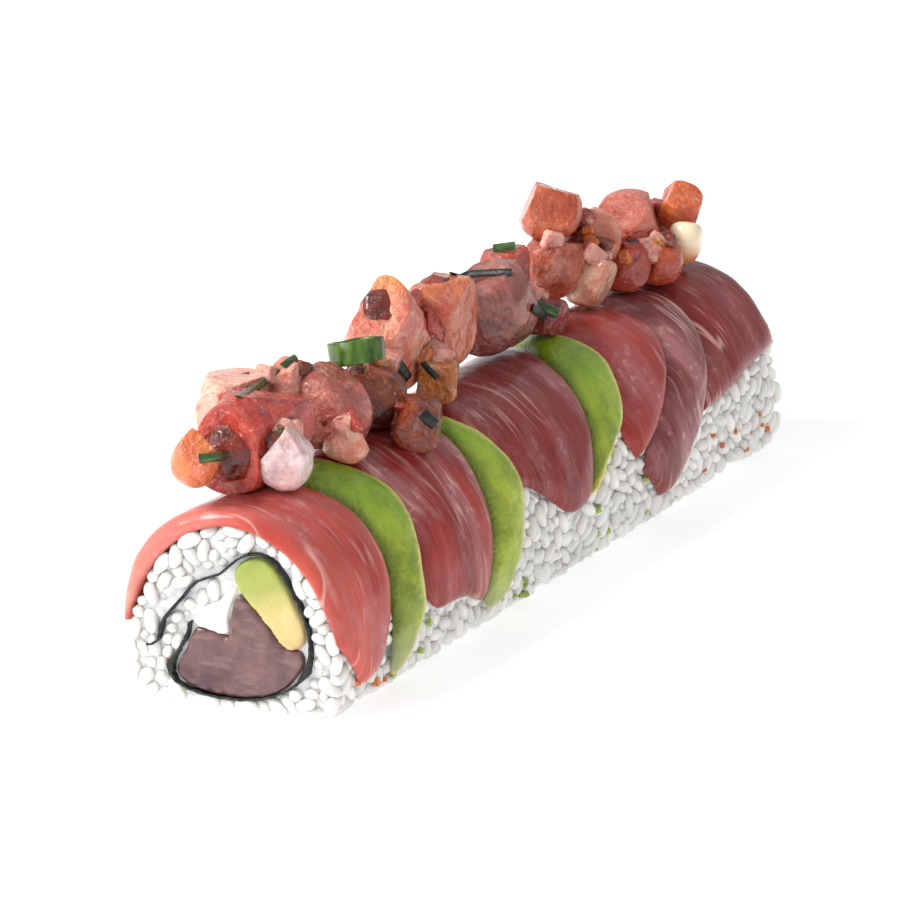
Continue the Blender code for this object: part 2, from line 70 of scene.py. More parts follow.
GRAIN_COUNT = 3050
GRAIN_RADIUS = 1.38 * MM
GRAIN_HALF_AXIS = 1.3 * MM  # from the middle of a grain to the middle of either round end
GRAIN_FORMS = 9
GRAIN_HALF_SIZE = (1.52, 1.36, 2.6)  # in millimetres
SHELL = 2.6 * MM  # how deep the grains are strewn
SETTLE_STEPS = 34
COVER_MARGIN = 5.0 * MM
FILLING_CLEARANCE = 1.0 * MM

# ---- fillings ----

FOOT_GROW = 1.2 * MM  # fillings spread where they rest on the nori
NORI_THINNER = 0.26 * MM

# ---- slices ----

SLICES_SINK = 0.5 * MM  # the slices are pressed onto the grains
FIBRE_RADIUS = 20 * MM  # turns an angle about the roll's axis into a distance
AXIS_HEIGHT = 14 * MM

# ---- light and camera ----

CAMERA_TURN = math.radians(30.4)
CAMERA_RISE = math.radians(19.5)
CAMERA_DISTANCE = 1.1135
CAMERA_TARGET = Vector((-0.0045, -0.0029, 0.026))
LENS = 208


def linear(red, green, blue):
    """A colour as a painter would name it, out of 255, as the shader wants it."""
    share = [c / 255 for c in (red, green, blue)]
    return tuple(c / 12.92 if c <= 0.04045 else ((c + 0.055) / 1.055) ** 2.4 for c in share)


# ---- finishes ----


class Maths:
    """A socket that can be used in sums."""

    def __init__(self, finish, socket):
        self.finish = finish
        self.socket = socket

    def sum(self, operation, *values, clamp=False):
        settings = {"operation": operation, "use_clamp": clamp}
        made = self.finish.node("ShaderNodeMath", settings, dict(enumerate(values)))
        return Maths(self.finish, made.outputs[0])

    def __add__(self, other):
        return self.sum("ADD", self, other)

    def __sub__(self, other):
        return self.sum("SUBTRACT", self, other)

    def __mul__(self, other):
        return self.sum("MULTIPLY", self, other)

    def __truediv__(self, other):
        return self.sum("DIVIDE", self, other)

    def __radd__(self, other):
        return self.sum("ADD", other, self)

    def __rsub__(self, other):
        return self.sum("SUBTRACT", other, self)

    def __rmul__(self, other):
        return self.sum("MULTIPLY", other, self)

    def limited(self):
        return self.sum("ADD", self, 0.0, clamp=True)

    def band(self, low, high):
        """0 below low, 1 above high, and a straight rise between."""
        return ((self - low) * (1 / (high - low))).limited()

    def bell(self, middle, width):
        """1 at the middle, falling to 0 at this distance to either side."""
        away = self.sum("ABSOLUTE", self - middle)
        return (1 - away * (1 / width)).limited()


class Finish:
    """A material in the making, with short ways to add what it needs."""

    def __init__(self, name, roughness=0.4):
        self.material = bpy.data.materials.new(name)
        self.material.use_nodes = True
        self.tree = self.material.node_tree
        self.shader = self.tree.nodes["Principled BSDF"]
        self.set("Roughness", roughness)
        self.place = self.node("ShaderNodeTexCoord").outputs["Object"]

    def node(self, kind, settings=None, values=None):
        made = self.tree.nodes.new(kind)
        for setting, value in (settings or {}).items():
            setattr(made, setting, value)
        for socket, value in (values or {}).items():
            self.give(made.inputs[socket], value)
        return made

    def give(self, socket, value):
        value = value.socket if isinstance(value, Maths) else value
        if isinstance(value, bpy.types.NodeSocket):
            self.tree.links.new(value, socket)
        else:
            socket.default_value = value

    def set(self, name, value):
        self.give(self.shader.inputs[name], value)

    def attribute(self, name):
        made = self.node("ShaderNodeAttribute", {"attribute_name": name})
        return Maths(self, made.outputs["Fac"])

    def axis(self, name, place=None):
        apart = self.node("ShaderNodeSeparateXYZ", None, {0: place or self.place})
        return Maths(self, apart.outputs[name])

    def vector(self, x, y, z):
        return self.node("ShaderNodeCombineXYZ", None, {0: x, 1: y, 2: z}).outputs[0]

    def scaled(self, x, y, z, place=None):
        values = {0: place or self.place, 1: (x, y, z)}
        return self.node("ShaderNodeVectorMath", {"operation": "MULTIPLY"}, values).outputs[0]

    def over_roll(self):
        """Distance round the roll, distance along it and height, for what is draped on it."""
        up = self.axis("Z") - AXIS_HEIGHT
        turn = self.axis("X").sum("ARCTAN2", self.axis("X"), up)
        return self.vector(turn * FIBRE_RADIUS, self.axis("Y"), 0.0)

    def noise(self, scale, detail=3.0, rough=0.55, place=None, bend=0.0):
        values = {
            "Vector": place or self.place, "Scale": scale, "Detail": detail,
            "Roughness": rough, "Distortion": bend,
        }
        return Maths(self, self.node("ShaderNodeTexNoise", None, values).outputs["Fac"])

    def cells(self, scale, place=None, feature="F1"):
        values = {"Vector": place or self.place, "Scale": scale}
        made = self.node("ShaderNodeTexVoronoi", {"feature": feature}, values)
        return Maths(self, made.outputs["Distance"])

    def mix(self, first, second, share):
        first = (*first, 1) if isinstance(first, tuple) else first
        second = (*second, 1) if isinstance(second, tuple) else second
        made = self.node("ShaderNodeMix", {"data_type": "RGBA"}, {0: share, 6: first, 7: second})
        return made.outputs[2]

    def bump(self, height, distance, strength=1.0):
        values = {"Height": height, "Distance": distance, "Strength": strength}
        self.set("Normal", self.node("ShaderNodeBump", None, values).outputs[0])

    def colour(self, value):
        self.set("Base Color", (*value, 1) if isinstance(value, tuple) else value)


def wet(name, roughness, glow, coat=0.3, reach=(1.0, 0.45, 0.3), depth=1.5 * MM):
    """A moist, slightly see-through finish, as raw fish and fruit have."""
    made = Finish(name, roughness)
    made.set("Subsurface Weight", glow)
    made.set("Subsurface Radius", reach)
    made.set("Subsurface Scale", depth)
    made.set("Coat Weight", coat)
    made.set("Coat Roughness", 0.12)
    made.set("IOR", 1.4)
    return made


def rice_finish():
    made = wet("rice", 0.30, 0.8, coat=0.3, reach=(1.0, 0.97, 0.92), depth=2.2 * MM)
    tone = made.attribute("tone")
    body = made.mix(linear(214, 213, 208), linear(245, 241, 232), tone)
    chalk = made.noise(420, 2).band(0.45, 0.75)
    made.colour(made.mix(body, linear(252, 250, 246), chalk * 0.4))
    made.bump(made.noise(900, 3), 0.08 * MM, 0.4)
    return made.material


def core_finish():
    made = wet("rice core", 0.4, 0.6, coat=0.1, reach=(1.0, 0.97, 0.92), depth=2.2 * MM)
    lumps = made.cells(330)
    # Painted shade: the cell borders, which the bump sinks, are mixed to a cooler grey, as shade in the
    # hollows between grains.
    made.colour(made.mix(linear(248, 247, 243), linear(222, 224, 226), lumps.band(0.35, 0.8)))
    made.bump(lumps, -0.9 * MM, 1.0)
    return made.material


def tuna_finish(name, deep, fresh, mauve, mauve_share, painted_light_share, seed):
    """Lean raw tuna: a few soft sinews along the drape, speckled patches, a thin pale end and painted light on
    the left side.
    """
    made = wet(name, 0.22, 0.28, coat=0.15, reach=(1.0, 0.35, 0.25))
    made.set("Specular IOR Level", 0.35)
    over = made.over_roll()
    drift = made.noise(38, 2, place=over) * (9 * MM)
    shifted = made.vector(
        made.axis("X", over) + seed * 10 * MM, made.axis("Y", over) + drift + seed * MM, 0.0
    )
    broad = made.noise(1.0, 3, place=made.scaled(40, 90, 1, shifted))
    sinew = made.noise(1.0, 2, 0.5, place=made.scaled(26, 230, 1, shifted), bend=0.3)
    fine = made.noise(1.0, 3, 0.6, place=made.scaled(90, 700, 1, shifted))
    patches = made.noise(1.0, 3, place=made.scaled(45, 120, 1, shifted)).band(0.46, 0.64)
    specks = made.noise(520, 2).band(0.56, 0.68) * patches
    body = made.mix(deep, fresh, broad.band(0.34, 0.66))
    body = made.mix(body, mauve, patches * mauve_share)
    body = made.mix(body, linear(226, 192, 190), specks * (mauve_share * 0.55))
    ridge = sinew.bell(0.5, 0.03) * made.noise(60, 2).band(0.45, 0.62)
    body = made.mix(body, linear(234, 188, 178), (ridge * 0.6 + fine.band(0.5, 0.8) * 0.12).limited())
    # Painted light: the left side, turned to the key lamp, is mixed towards a paler red. The low end is paler
    # too, as the thin slice's own tone, in the same colour.
    left = (made.axis("X") * -1).band(-2 * MM, 22 * MM)
    low = (13 * MM - made.axis("Z")).band(0.0, 11 * MM)
    body = made.mix(body, linear(214, 128, 112), (left * painted_light_share + low * 0.3).limited())
    made.colour(body)
    made.set("Roughness", (0.16 + fine * 0.2).limited())
    made.bump(sinew * 0.35 + fine * 0.25 + made.noise(420, 3) * 0.5, 0.4 * MM, 0.5)
    return made.material


def avocado_slice_finish():
    made = wet("avocado slice", 0.30, 0.30, coat=0.4, reach=(0.8, 1.0, 0.35))
    over = made.over_roll()
    grain = made.noise(1.0, 4, 0.6, place=made.scaled(200, 330, 1, over), bend=0.6)
    broad = made.noise(110, 3, place=over)
    edge = made.noise(300, 3) * 0.5
    body = made.mix(linear(124, 144, 24), linear(176, 192, 56), broad.band(0.36, 0.64))
    body = made.mix(body, linear(116, 162, 16), made.axis("Z").band(27 * MM, 39 * MM) * 0.6)
    body = made.mix(body, linear(96, 116, 24), grain.band(0.54, 0.76) * 0.55)
    body = made.mix(body, linear(92, 112, 30), (made.attribute("front") * 1.3 - edge).limited() * 0.75)
    body = made.mix(body, linear(240, 224, 118), (made.attribute("rear") * 1.5 - edge).limited())
    low = (15 * MM - made.axis("Z")).band(0.0, 13 * MM)
    body = made.mix(body, linear(196, 198, 160), low * 0.75)
    made.colour(body)
    made.bump(grain + made.noise(480, 4) * 0.8, 1.1 * MM, 0.9)
    return made.material


def avocado_filling_finish():
    made = wet("avocado filling", 0.42, 0.25, coat=0.15, reach=(1.0, 1.0, 0.7))
    height = made.axis("Z") + made.axis("X") * -0.35
    body = made.mix(linear(200, 168, 116), linear(208, 188, 126), height.band(9 * MM, 16 * MM))
    body = made.mix(body, linear(160, 168, 82), height.band(18 * MM, 25 * MM))
    body = made.mix(body, linear(136, 156, 62), height.band(27 * MM, 33 * MM))
    body = made.mix(body, linear(168, 124, 78), made.noise(420, 3).band(0.66, 0.76) * 0.3)
    made.colour(body)
    made.bump(made.noise(600, 4), 0.35 * MM, 0.7)
    return made.material


def raw_fish_finish():
    made = wet("raw fish", 0.3, 0.25, coat=0.4, reach=(1.0, 0.5, 0.45))
    layers = made.noise(1.0, 2, 0.5, place=made.scaled(150, 30, 420), bend=0.2)
    body = made.mix(linear(78, 50, 52), linear(120, 86, 84), made.noise(120, 4).band(0.36, 0.66))
    body = made.mix(body, linear(150, 118, 112), layers.band(0.54, 0.64) * 0.35)
    body = made.mix(body, linear(74, 46, 50), made.noise(330, 3).band(0.56, 0.72) * 0.6)
    made.colour(body)
    made.bump(made.noise(520, 4), 0.35 * MM, 0.6)
    return made.material


def cheese_finish():
    made = wet("cream cheese", 0.42, 0.4, coat=0.1, reach=(1.0, 0.97, 0.9))
    made.colour(made.mix(linear(253, 249, 241), linear(242, 234, 222), made.noise(260, 3).band(0.4, 0.7)))
    made.bump(made.noise(500, 4), 0.5 * MM, 0.6)
    return made.material


def nori_finish(name="nori"):
    made = Finish(name, 0.42)
    made.colour(made.mix(linear(7, 9, 8), linear(30, 34, 28), made.noise(700, 3).band(0.5, 0.8)))
    made.bump(made.noise(900, 4), 0.3 * MM, 0.8)
    return made.material


def dice_finish(name, deep, light, patch, patch_share, glow=0.4, roughness=0.16, tip=None):
    """Glazed, diced fish: two tones of flesh, soft patches of another and a sparkling skin."""
    made = wet(name, roughness, glow, 0.5, depth=1.6 * MM)
    made.set("Coat Roughness", 0.07)
    body = made.mix(deep, light, made.noise(170, 4, bend=0.4).band(0.38, 0.64))
    body = made.mix(body, patch, made.noise(210, 3).band(0.5, 0.66) * patch_share)
    fibres = made.noise(1.0, 3, place=made.scaled(180, 620, 400)).band(0.56, 0.78)
    body = made.mix(body, tuple(0.6 + 0.4 * c for c in light), fibres * 0.22)
    dark = tuple(0.35 * c for c in deep)
    body = made.mix(body, dark, made.noise(430, 3).band(0.6, 0.74) * 0.45)
    if tip:
        body = made.mix(body, tip[0], made.axis("Z").band(tip[1] - 5 * MM, tip[1]) * 0.8)
    made.colour(body)
    made.bump(made.noise(330, 4) + made.noise(850, 3) * 0.7, 1.3 * MM, 0.9)
    return made.material


def herb_finish(name, deep, light):
    made = wet(name, 0.22, 0.2, coat=0.5, reach=(0.6, 1.0, 0.3))
    made.colour(made.mix(deep, light, made.noise(480, 3).band(0.4, 0.66)))
    made.bump(made.noise(900, 3), 0.25 * MM, 0.6)
    return made.material


# ---- shared ways of making pieces ----


def only(thing):
    bpy.ops.object.select_all(action="DESELECT")
    thing.select_set(True)
    bpy.context.view_layer.objects.active = thing


def apply(thing, kind, name="step", **settings):
    only(thing)
    modifier = thing.modifiers.new(name, kind)
    for setting, value in settings.items():
        setattr(modifier, setting, value)
    bpy.ops.object.modifier_apply(modifier=modifier.name)


def points_of(mesh):
    points = np.empty(len(mesh.vertices) * 3)
    mesh.vertices.foreach_get("co", points)
    return points.reshape(-1, 3)


def normals_of(mesh):
    normals = np.empty(len(mesh.vertices) * 3)
    mesh.vertex_normals.foreach_get("vector", normals)
    return normals.reshape(-1, 3)


def move_points(mesh, points):
    mesh.vertices.foreach_set("co", np.ascontiguousarray(points, float).ravel())
    mesh.update()


def add_piece(name, mesh, finish):
    piece = bpy.data.objects.new(name.replace(" ", "_") + "_shown", mesh)
    bpy.context.scene.collection.objects.link(piece)
    mesh.materials.clear()
    mesh.materials.append(finish)
    mesh.shade_smooth()
    return piece


def copy_of(node, name, finish):
    """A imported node's mesh as a piece of its own, in the object's frame, joined at its edges."""
    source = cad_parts[node]
    mesh = source.data.copy()
    mesh.transform(source.matrix_world)
    for layer in list(mesh.uv_layers):
        mesh.uv_layers.remove(layer)
    piece = add_piece(name, mesh, finish)
    only(piece)
    bpy.ops.object.mode_set(mode="EDIT")
    bpy.ops.mesh.select_all(action="SELECT")
    bpy.ops.mesh.remove_doubles(threshold=0.00001)
    bpy.ops.mesh.tris_convert_to_quads(face_threshold=0.9, shape_threshold=0.9)
    bpy.ops.mesh.normals_make_consistent(inside=False)
    bpy.ops.object.mode_set(mode="OBJECT")
    return piece


def uneven(points, scale, seed=0.0):
    """Smooth noise at each point, between about -1 and 1."""
    return np.array([noise.noise(Vector(p) * scale + Vector((seed, -seed, seed))) for p in points])


def settled(piece, slot, *nodes):
    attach(piece, "root")
    if nodes:
        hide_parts(*nodes)
    return piece


# ---- the roll's section ----


def half_outline():
    points = []
    for i in range(ARCH_STEPS + 1):
        turn = math.pi / 2 * (1 - i / ARCH_STEPS)
        x = RICE_HALF_WIDTH * abs(math.cos(turn)) ** (2 / ARCH_POWER)
        z = SIDE_HEIGHT + (RICE_HEIGHT - SIDE_HEIGHT) * math.sin(turn) ** (2 / ARCH_POWER)
        points.append((x, z))
    points += [(x * MM, z * MM) for x, z in FOOT]
    return points


OUTLINE = np.array([(-x, z) for x, z in reversed(half_outline())][:-1] + half_outline())
EDGES = np.roll(OUTLINE, -1, axis=0) - OUTLINE
EDGE_OUT = np.stack([-EDGES[:, 1], EDGES[:, 0]], 1) / np.hypot(*EDGES.T)[:, None]


def front_y(x):
    return ROLL_MIDDLE_Y - ROLL_LENGTH / 2 + x * FRONT_SLANT


def back_y(x):
    return ROLL_MIDDLE_Y + ROLL_LENGTH / 2 + x * BACK_SLANT


def depth_in_roll(points):
    """How deep each point lies under the nearest side, and the way out to it (x, z)."""
    flat = points[:, [0, 2]]
    beyond = np.einsum("pek,ek->pe", flat[:, None] - OUTLINE[None], EDGE_OUT)
    nearest = beyond.argmax(1)
    return -beyond[np.arange(len(points)), nearest], EDGE_OUT[nearest]


class FillingField:
    """Distance to the nearest filling at the cut, read from a grid over the section."""

    def __init__(self, nodes, pitch=0.4 * MM):
        self.pitch = pitch
        self.low = np.array((-26 * MM, -2 * MM))
        size = ((52 * MM) / pitch, (46 * MM) / pitch)
        self.size = tuple(int(s) + 1 for s in size)
        tree = tree_of(nodes)
        self.away = np.zeros(self.size)
        self.out = np.zeros((*self.size, 2))
        for i in range(self.size[0]):
            for j in range(self.size[1]):
                x, z = self.low + np.array((i, j)) * pitch
                place, normal, _, away = tree.find_nearest(Vector((x, 0, z)))
                step = Vector((x, 0, z)) - place
                inside = step.dot(normal) < 0
                self.away[i, j] = -away if inside else away
                way = -step if inside else step
                way = way.normalized() if way.length > 1e-7 else normal
                self.out[i, j] = (way.x, way.z)

    def at(self, points):
        cell = ((points[:, [0, 2]] - self.low) / self.pitch).round().astype(int)
        i = cell[:, 0].clip(0, self.size[0] - 1)
        j = cell[:, 1].clip(0, self.size[1] - 1)
        return self.away[i, j], self.out[i, j]


def tree_of(nodes):
    """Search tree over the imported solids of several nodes."""
    points, faces = [], []
    for node in nodes:
        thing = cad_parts[node]
        start = len(points)
        points += [thing.matrix_world @ v.co for v in thing.data.vertices]
        faces += [[start + i for i in p.vertices] for p in thing.data.polygons]
    return BVHTree.FromPolygons(points, faces)


FILLINGS = ("nori", "avocado_filling", "fish_filling", "cream_cheese")
TUNA = tuple(f"tuna_slice_{i}" for i in range(1, 7))
AVOCADO = tuple(f"avocado_slice_{i}" for i in range(1, 4))


# ---- rice ----


def grain_forms(rng):
    """A few plump, slightly bent grains, each 8 sides by 7 rings."""
    forms = []
    for _ in range(GRAIN_FORMS):
        bpy.ops.mesh.primitive_uv_sphere_add(segments=8, ring_count=7, radius=1)
        ball = bpy.context.object
        points = points_of(ball.data)
        faces = [tuple(p.vertices) for p in ball.data.polygons]
        bpy.data.objects.remove(ball)
        half = np.array(GRAIN_HALF_SIZE) * rng.uniform(0.92, 1.08, 3) * MM
        square = np.sign(points) * np.abs(points) ** 0.86
        shaped = square * half
        along = square[:, 2]
        shaped[:, 0] += (along**2 - 0.4) * rng.uniform(0.15, 0.5) * MM
        shaped[:, :2] *= (1 + rng.uniform(-0.14, 0.14) * along)[:, None]
        shaped += rng.normal(0, 0.035, shaped.shape) * MM
        forms.append((shaped, faces))
    return forms


def strew(rng, field):
    """Grain middles near the surface of the roll, at random."""
    kept = []
    while len(kept) < GRAIN_COUNT:
        spots = rng.uniform((-0.0225, 0, 0), (0.0225, 1, 0.0395), (6000, 3))
        low, high = front_y(spots[:, 0]), back_y(spots[:, 0])
        spots[:, 1] = low + (high - low) * spots[:, 1]
        ends = np.minimum(spots[:, 1] - low, high - spots[:, 1])
        deep, _ = depth_in_roll(spots)
        away, _ = field.at(spots)
        shallow = (deep > 0.6 * MM) & (deep < SHELL)
        at_ends = (deep > 0.6 * MM) & (ends < SHELL) & (ends > 0.5 * MM)
        wanted = (shallow | at_ends) & (away > FILLING_CLEARANCE)
        kept += list(spots[wanted])
    return np.array(kept[:GRAIN_COUNT])


def settle(centres, axes, field, steps):
    """Pushes the grains apart and back under the surface, as they are when pressed."""
    beads = np.array((-1, 0, 1)) * GRAIN_HALF_AXIS
    for step in range(steps):
        if step % 6 == 0:
            tree = kdtree.KDTree(len(centres))
            for i, spot in enumerate(centres):
                tree.insert(spot, i)
            tree.balance()
            pairs = np.array([
                (i, j)
                for i, spot in enumerate(centres)
                for _, j, _ in tree.find_range(spot, 5.6 * MM)
                if j > i
            ])
        spots = centres[:, None] + axes[:, None] * beads[None, :, None]
        force = np.zeros_like(spots)
        apart = spots[pairs[:, 0]][:, :, None] - spots[pairs[:, 1]][:, None]
        length = np.linalg.norm(apart, axis=3).clip(1e-6)
        press = (2 * GRAIN_RADIUS * 0.93 - length).clip(0) / length
        push = apart * press[..., None] * 0.28
        np.add.at(force, pairs[:, 0], push.sum(2))
        np.add.at(force, pairs[:, 1], -push.sum(1))
        flat = spots.reshape(-1, 3)
        back = np.zeros_like(flat)
        deep, out = depth_in_roll(flat)
        short = (GRAIN_RADIUS * 0.96 - deep).clip(0)
        back[:, [0, 2]] -= out * short[:, None]
        low, high = front_y(flat[:, 0]), back_y(flat[:, 0])
        ends = np.minimum(flat[:, 1] - low, high - flat[:, 1])
        back[:, 1] += (low + GRAIN_RADIUS * 0.9 - flat[:, 1]).clip(0)
        back[:, 1] -= (flat[:, 1] - high + GRAIN_RADIUS * 0.9).clip(0)
        away, way = field.at(flat)
        close = (GRAIN_RADIUS * 0.9 - away).clip(0)
        back[:, [0, 2]] += way * close[:, None]
        outward = (deep > SHELL) & (ends > SHELL)
        back[:, [0, 2]] += out * (outward * 0.15 * MM)[:, None]
        force += back.reshape(force.shape) * 0.9
        centres = centres + force.mean(1)
        axes = axes + (force[:, 2] - force[:, 0]) * (0.5 / (2 * GRAIN_HALF_AXIS))
        axes /= np.linalg.norm(axes, axis=1)[:, None]
    return centres, axes


def hidden_under_slices(centres, tree):
    """Whether slices cover each grain and all that is round it."""
    hidden = np.zeros(len(centres), bool)
    _, out = depth_in_roll(centres)
    for i, (spot, way) in enumerate(zip(centres, out)):
        if spot[1] < front_y(spot[0]) + 7 * MM or spot[1] > back_y(spot[0]) - 7 * MM:
            continue
        side = Vector((way[1], 0, -way[0]))
        along = Vector((0, 1, 0))
        rays = [
            Vector(spot) + side * a * COVER_MARGIN + along * b * COVER_MARGIN
            for a, b in ((0, 0), (1, 0), (-1, 0), (0, 1), (0, -1))
        ]
        aim = Vector((way[0], 0, way[1]))
        hidden[i] = all(tree.ray_cast(start, aim, 8 * MM)[0] is not None for start in rays)
    return hidden


def turned(axes, rng):
    """A turn for each grain that lays its length along its axis, rolled at random."""
    any_way = rng.normal(size=axes.shape)
    first = np.cross(axes, any_way)
    first /= np.linalg.norm(first, axis=1)[:, None]
    return np.stack([first, np.cross(axes, first), axes], 2)


def grain_mesh(name, centres, turns, forms, rng):
    """All of these grains as one mesh, with a tone for each."""
    points, faces, tones = [], [], []
    start = 0
    for centre, turn in zip(centres, turns):
        shape, sides = forms[rng.integers(len(forms))]
        placed = shape * rng.uniform(0.9, 1.08) @ turn.T + centre
        placed[:, 2] = placed[:, 2].clip(0.02 * MM)
        points.append(placed)
        faces += [tuple(start + i for i in side) for side in sides]
        tones += [rng.uniform(0, 1)] * len(placed)
        start += len(placed)
    mesh = bpy.data.meshes.new(name)
    mesh.from_pydata(np.concatenate(points).tolist(), [], faces)
    mesh.attributes.new("tone", "FLOAT", "POINT").data.foreach_set("value", tones)
    return mesh


def build_core(finish):
    """What the grains lie on: the same section, set in all round."""
    centre = np.array((0, 15 * MM))
    reach = np.hypot(*(OUTLINE - centre).T)[:, None]
    ring = centre + (OUTLINE - centre) * (1 - CORE_INSET / reach)
    shape = bmesh.new()
    rows = []
    for face_y, inset in ((front_y, CORE_INSET), (back_y, -CORE_INSET)):
        rows.append([shape.verts.new((x, face_y(x) + inset, z)) for x, z in ring])
    for row in rows:
        shape.faces.new(row)
    count = len(ring)
    for i in range(count):
        k = (i + 1) % count
        shape.faces.new((rows[0][i], rows[0][k], rows[1][k], rows[1][i]))
    bmesh.ops.recalc_face_normals(shape, faces=shape.faces)
    mesh = bpy.data.meshes.new("rice core")
    shape.to_mesh(mesh)
    shape.free()
    core = add_piece("rice core", mesh, finish)
    mesh.shade_flat()
    settled(core, "rice", "rice")


def build_rice():
    rng = np.random.default_rng(41)
    field = FillingField(FILLINGS)
    centres = strew(rng, field)
    axes = rng.normal(size=centres.shape)
    _, out = depth_in_roll(centres)
    normal = np.stack([out[:, 0], np.zeros(len(out)), out[:, 1]], 1)
    axes -= normal * (axes * normal).sum(1)[:, None] * 0.7
    axes /= np.linalg.norm(axes, axis=1)[:, None]
    centres, axes = settle(centres, axes, field, SETTLE_STEPS)
    hidden = hidden_under_slices(centres, tree_of(TUNA + AVOCADO))
    centres, axes = centres[~hidden], axes[~hidden]
    forms = grain_forms(rng)
    turns = turned(axes, rng)
    finish = rice_finish()
    order = np.argsort(centres[:, 1])
    for part, chosen in zip(("near", "middle", "far"), np.array_split(order, 3)):
        mesh = grain_mesh(f"rice grains {part}", centres[chosen], turns[chosen], forms, rng)
        settled(add_piece(mesh.name, mesh, finish), "rice")
    build_core(core_finish())


# ---- fillings ----


def build_filling(node, name, finish, slot, grow, swell):
    """A filling that meets its neighbours, with its cut ends refined and left uneven."""
    piece = copy_of(node, name, finish)
    apply(piece, "REMESH", mode="VOXEL", voxel_size=0.55 * MM, use_smooth_shade=True)
    mesh = piece.data
    points, normals = points_of(mesh), normals_of(mesh)
    ends = np.minimum(points[:, 1] - front_y(points[:, 0]), back_y(points[:, 0]) - points[:, 1])
    rough = uneven(points, 420, 3.1) * 0.35 + uneven(points, 160, 7.7) * 0.65
    at_end = (1 - ends / (1.5 * MM)).clip(0, 1)
    low = ((9 * MM - points[:, 2]) / (4 * MM)).clip(0, 1) * FOOT_GROW
    across = normals * (1, 0, 1)
    points += normals * (grow * (1 - at_end) + swell * rough * 0.5)[:, None]
    points += across * low[:, None]
    points[:, 1] += at_end * rough * swell * np.sign(points[:, 1])
    points[:, 1] = points[:, 1].clip(front_y(points[:, 0]) - 0.2 * MM, back_y(points[:, 0]) + 0.2 * MM)
    points[:, 2] = points[:, 2].clip(0.6 * MM)
    move_points(mesh, points)
    bpy.ops.object.shade_smooth_by_angle(angle=math.radians(50))
    settled(piece, slot, node)


def build_nori():
    """A thin dark sheet: frayed a little at its cut ends and never quite straight."""
    piece = copy_of("nori", "nori sheet", nori_finish())
    apply(piece, "SUBSURF", levels=3, render_levels=3, subdivision_type="SIMPLE")
    mesh = piece.data
    points, normals = points_of(mesh), normals_of(mesh)
    rough = uneven(points, 520, 2.2) + uneven(points, 1400, 9.4) * 0.8
    points += normals * (1, 0, 1) * (rough * 0.22 * MM - NORI_THINNER)[:, None]
    points[:, 1] += uneven(points, 900, 5.5) * 0.4 * MM
    move_points(mesh, points)
    bpy.ops.object.shade_smooth_by_angle(angle=math.radians(40))
    settled(piece, "nori", "nori")


def build_fillings():
    build_nori()
    build_filling(
        "avocado_filling", "avocado strip", avocado_filling_finish(), "avocado", 0.3 * MM, 0.4 * MM
    )
    build_filling("fish_filling", "fish strip", raw_fish_finish(), "raw_fish", 0.35 * MM, 0.4 * MM)
    build_filling("cream_cheese", "cream cheese strip", cheese_finish(), "cheese", 0.3 * MM, 0.6 * MM)


# ---- slices ----


def sunk(points):
    """Points over the roll pressed towards it."""
    _, out = depth_in_roll(points)
    points = points.copy()
    points[:, [0, 2]] -= out * SLICES_SINK
    return points


def build_slice(node, name, finish, slot, ripple):
    piece = copy_of(node, name, finish)
    apply(piece, "SUBSURF", levels=3, render_levels=3)
    mesh = piece.data
    points = sunk(points_of(mesh))
    normals = normals_of(mesh)
    broad = uneven(points, 95, 1.3) * 0.30 + uneven(points, 260, 4.2) * 0.14
    points += normals * (broad * ripple * MM)[:, None]
    points[:, 1] += uneven(points * (1, 0, 1), 160, len(name)) * 0.35 * MM
    points[:, 2] = points[:, 2].clip(0.1 * MM)
    mark_edges(mesh, points)
    move_points(mesh, points)
    settled(piece, slot, node)


def mark_edges(mesh, points):
    """Marks how near each point lies to the slice's front and rear edges."""
    run = np.arctan2(points[:, 0], points[:, 2] - AXIS_HEIGHT)
    order = np.argsort(run)
    window = max(len(points) // 60, 8)
    y = points[:, 1]
    low, high = np.empty(len(points)), np.empty(len(points))
    for chunk in np.array_split(order, max(len(points) // window, 1)):
        low[chunk], high[chunk] = y[chunk].min(), y[chunk].max()
    rear = (1 - (high - y) / (4.5 * MM)).clip(0, 1)
    front = (1 - (y - low) / (2.5 * MM)).clip(0, 1)
    mesh.attributes.new("rear", "FLOAT", "POINT").data.foreach_set("value", rear)
    mesh.attributes.new("front", "FLOAT", "POINT").data.foreach_set("value", front)


def build_slices():
    fresh, deep = linear(202, 92, 78), linear(168, 54, 46)
    dark, wine = linear(144, 46, 40), linear(114, 34, 34)
    mauve, dusk = linear(174, 114, 116), linear(138, 78, 80)
    looks = (  # deep, fresh, patches, share of the patches, how much painted light pales the left side, which faces the key lamp
        (deep, fresh, mauve, 0.45, 0.6), (wine, deep, mauve, 0.75, 0.5), (wine, dark, mauve, 0.4, 0.3),
        (dark, deep, mauve, 0.45, 0.3), (wine, dusk, mauve, 0.8, 0.3), (wine, dark, mauve, 0.3, 0.2),
    )
    for i, (node, (low, high, third, share, left)) in enumerate(zip(TUNA, looks)):
        name = node.replace("_", " ")
        build_slice(node, name, tuna_finish(name, low, high, third, share, left, i * 3.7), "tuna", 0.8)
    finish = avocado_slice_finish()
    for node in AVOCADO:
        build_slice(node, node.replace("_", " "), finish, "avocado", 1.2)


# ---- diced fish ----

RED, DEEP_RED = linear(190, 62, 46), linear(150, 40, 32)
PINK, ROSE = linear(236, 176, 156), linear(190, 104, 92)
SALMON, ORANGE = linear(216, 120, 92), linear(216, 110, 50)
BROWN, DARK = linear(140, 62, 34), linear(86, 28, 12)
GOLD, CREAM = linear(200, 120, 50), linear(244, 226, 190)

